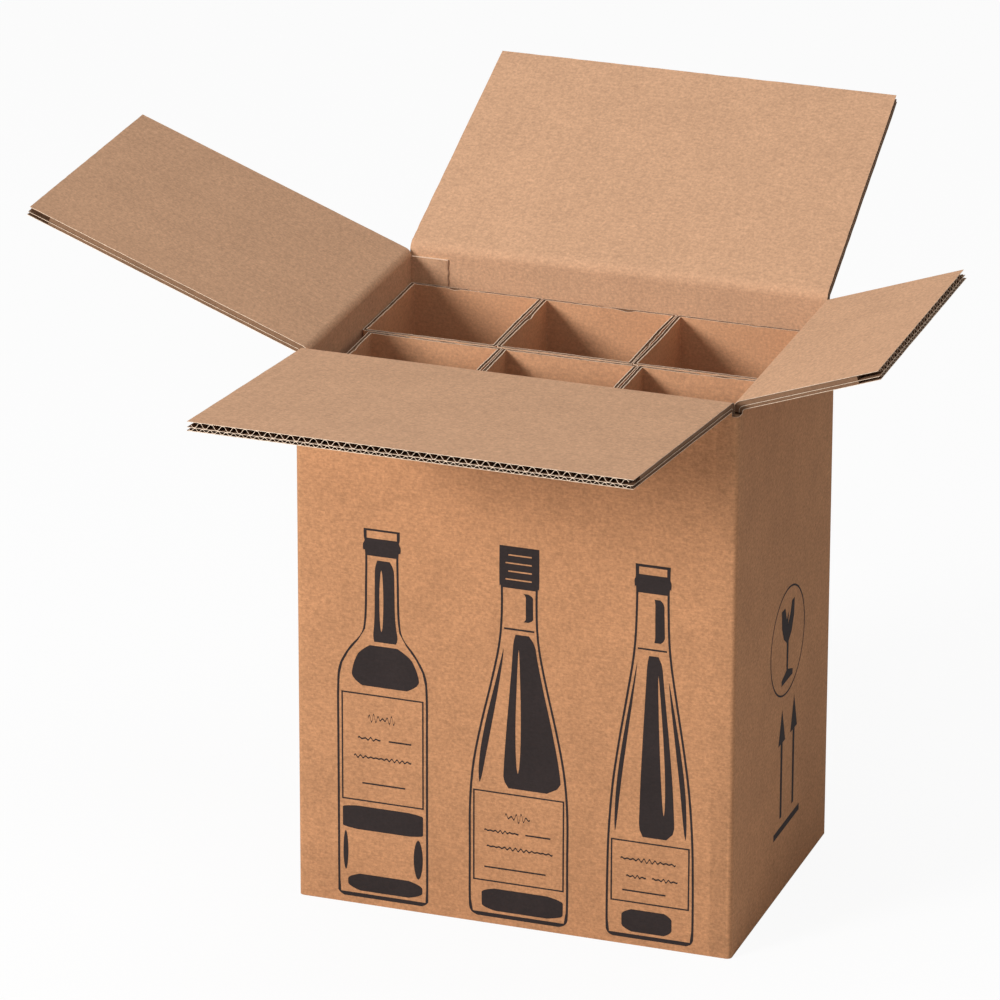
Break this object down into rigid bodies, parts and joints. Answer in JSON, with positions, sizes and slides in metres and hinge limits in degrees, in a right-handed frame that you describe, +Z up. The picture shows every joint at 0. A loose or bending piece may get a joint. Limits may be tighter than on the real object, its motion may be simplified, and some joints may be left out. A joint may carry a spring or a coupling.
{
  "type": "bottle shipping box",
  "caption": "Tall double-wall cardboard shipping box for standing bottles, its top flaps hinged and open over folded sleeves that keep the bottles apart.",
  "frame": {"origin": "centre of the base, on the surface that the box stands on", "axes": "+X along the wide front, +Y from the front wall to the back wall, +Z up through the open top"},
  "size_m": [0.613, 0.6291, 0.4939],
  "materials": {
    "carton_board": "matte",
    "sleeve_board": "matte"
  },
  "bodies": {
    "carton": {"carton_body": "carton_board", "sleeve_back_left": "sleeve_board", "sleeve_front_left": "sleeve_board", "sleeve_back_middle": "sleeve_board", "sleeve_front_middle": "sleeve_board", "sleeve_back_right": "sleeve_board", "sleeve_front_right": "sleeve_board"},
    "front_flap": {"front_flap": "carton_board"},
    "back_flap": {"back_flap": "carton_board"},
    "left_flap": {"left_flap": "carton_board"},
    "right_flap": {"right_flap": "carton_board"}
  },
  "joints": [
    {"name": "front_flap_fold", "type": "hinge", "parent": "carton", "child": "front_flap", "pos_m": [0, -0.1094, 0.40715], "axis": [-1, 0, 0], "range_deg": [-66.5, 173.5]},
    {"name": "back_flap_fold", "type": "hinge", "parent": "carton", "child": "back_flap", "pos_m": [0, 0.1071, 0.4115], "axis": [1, 0, 0], "range_deg": [-67.5, 157.5]},
    {"name": "left_flap_fold", "type": "hinge", "parent": "carton", "child": "left_flap", "pos_m": [-0.159, 0, 0.4036], "axis": [0, 1, 0], "range_deg": [-106, 159]},
    {"name": "right_flap_fold", "type": "hinge", "parent": "carton", "child": "right_flap", "pos_m": [0.159, 0, 0.4036], "axis": [0, -1, 0], "range_deg": [-104.5, 160.5]}
  ]
}
